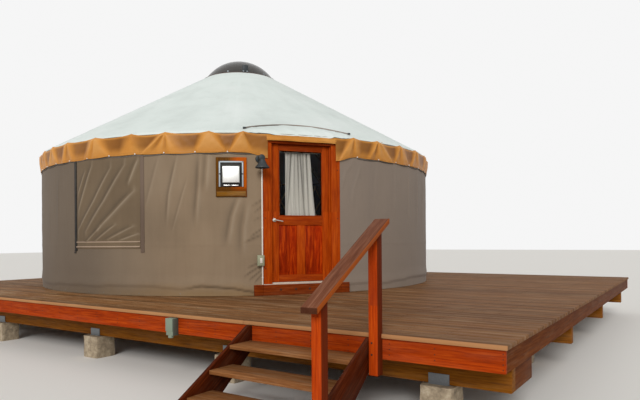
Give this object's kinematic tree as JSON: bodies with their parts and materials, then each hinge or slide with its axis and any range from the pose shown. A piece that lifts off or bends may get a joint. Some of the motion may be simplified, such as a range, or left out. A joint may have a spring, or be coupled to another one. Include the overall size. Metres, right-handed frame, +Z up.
{
  "type": "round fabric yurt on a raised timber deck",
  "caption": "Round fabric yurt with a lattice wall, conical roof and dome, on a raised timber deck with an open stair, one handrail and a half-glazed timber door.",
  "frame": {"origin": "on the ground under the middle of the yurt, at the underside of the centre pier", "axes": "+X along the deck's front edge towards the stair, +Y to the back, +Z up"},
  "size_m": [11.18, 10.36, 5.3841],
  "materials": {
    "deck_boards_wood": "stained, worn",
    "fascia_wood": "orange-red stain",
    "girder_wood": "brown stain",
    "joist_wood": "rough sawn",
    "pier_stone": "rough stone",
    "galvanised_steel": "dull galvanised",
    "stair_wood": "brown-red stain",
    "tread_wood": "worn stain",
    "rail_wood": "red stain",
    "grey_plastic": "moulded",
    "floor_wood": "oiled",
    "wall_canvas": "coated canvas",
    "lattice_wood": "planed",
    "cable_steel": "twisted wire",
    "roof_vinyl": "coated, satin",
    "valance_vinyl": "coated, satin",
    "curb_trim": "dark brown",
    "dome_acrylic": "smoked, glossy",
    "dark_metal": "dark grey",
    "door_wood": "red-brown stain",
    "frame_wood": "orange-red stain",
    "threshold_wood": "pale, worn",
    "pane_glass": "clear",
    "curtain_cloth": "thin woven",
    "lever_metal": "satin",
    "flap_canvas": "coated canvas",
    "vent_board_wood": "weathered stain",
    "vent_steel": "brushed, polished edges",
    "pale_plastic": "moulded",
    "box_plastic": "moulded"
  },
  "bodies": {
    "structure": {"deck_floor": "deck_boards_wood", "front_fascia": "fascia_wood", "back_fascia": "fascia_wood", "side_fascias": "fascia_wood", "joists": "joist_wood", "girders": "girder_wood", "girder_end_boards": "girder_wood", "centre_beam": "joist_wood", "piers": "pier_stone", "centre_pier": "pier_stone", "pier_saddles": "galvanised_steel", "stair_stringers": "stair_wood", "stair_treads": "tread_wood", "rail_posts": "rail_wood", "handrail": "rail_wood", "junction_box": "grey_plastic", "floor_boards": "floor_wood", "floor_rim": "joist_wood", "floor_sleepers": "joist_wood", "wall_cover_1": "wall_canvas", "wall_cover_2": "wall_canvas", "wall_cover_3": "wall_canvas", "wall_cover_4": "wall_canvas", "wall_cover_5": "wall_canvas", "wall_over_door": "wall_canvas", "lattice_1": "lattice_wood", "lattice_2": "lattice_wood", "lattice_3": "lattice_wood", "lattice_4": "lattice_wood", "lattice_5": "lattice_wood", "tension_cable": "cable_steel", "rafters": "lattice_wood", "crown_ring": "lattice_wood", "roof_cover": "roof_vinyl", "valance": "valance_vinyl", "dome_curb": "curb_trim", "dome": "dome_acrylic", "dome_opener": "dark_metal", "rain_diverter": "roof_vinyl", "door_sill": "door_wood", "door_foot_blocks": "door_wood", "door_jambs": "frame_wood", "door_head": "frame_wood", "door_threshold": "threshold_wood", "door_stops": "frame_wood", "window_flap": "flap_canvas", "window_strips": "flap_canvas", "vent_board": "vent_board_wood", "vent_cap": "vent_steel", "wall_lamp": "dark_metal", "conduit": "pale_plastic", "switch_box": "box_plastic"},
    "door": {"door_leaf": "door_wood", "door_glass": "pane_glass", "door_curtain": "curtain_cloth", "curtain_rod": "lever_metal", "door_hinges": "lever_metal"},
    "lever": {"door_levers": "lever_metal"}
  },
  "joints": [
    {"name": "door_swing", "type": "hinge", "parent": "structure", "child": "door", "pos_m": [3.31673, -1.74679, 0.943], "axis": [0, 0, -1], "range_deg": [0, 90]},
    {"name": "lever_turn", "type": "hinge", "parent": "door", "child": "lever", "pos_m": [2.80487, -2.49076, 1.873], "axis": [-0.8181, 0.575, 0], "range_deg": [0, 40]}
  ]
}
